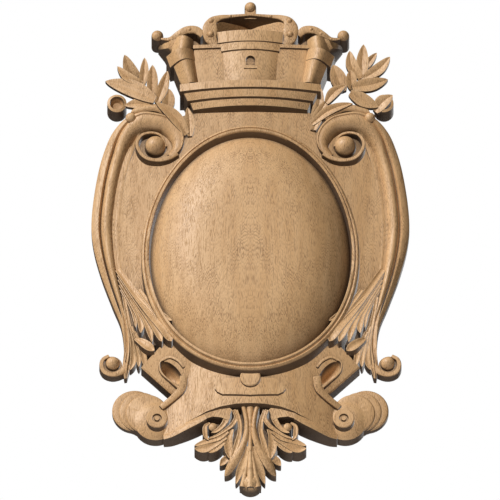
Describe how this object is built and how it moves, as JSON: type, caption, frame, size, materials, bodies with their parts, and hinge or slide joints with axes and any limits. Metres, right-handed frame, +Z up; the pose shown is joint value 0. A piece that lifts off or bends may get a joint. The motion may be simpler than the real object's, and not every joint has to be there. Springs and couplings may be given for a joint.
{
  "type": "carved wall cartouche",
  "caption": "Carved oak wall cartouche: domed oval field in a moulded ring, mural crown above, scrolled side bands, laurel sprays, acanthus, rolled corners and hanging palmette.",
  "frame": {"origin": "on the flat back that lies on the wall, behind the middle of the oval field", "axes": "+Z up the cartouche, +X to the viewer's right, +Y out of the back into the wall, so the carving faces -Y"},
  "size_m": [0.361, 0.071, 0.6028],
  "materials": {
    "oak": "satin"
  },
  "bodies": {
    "root": {"cartouche": "oak"}
  },
  "joints": []
}
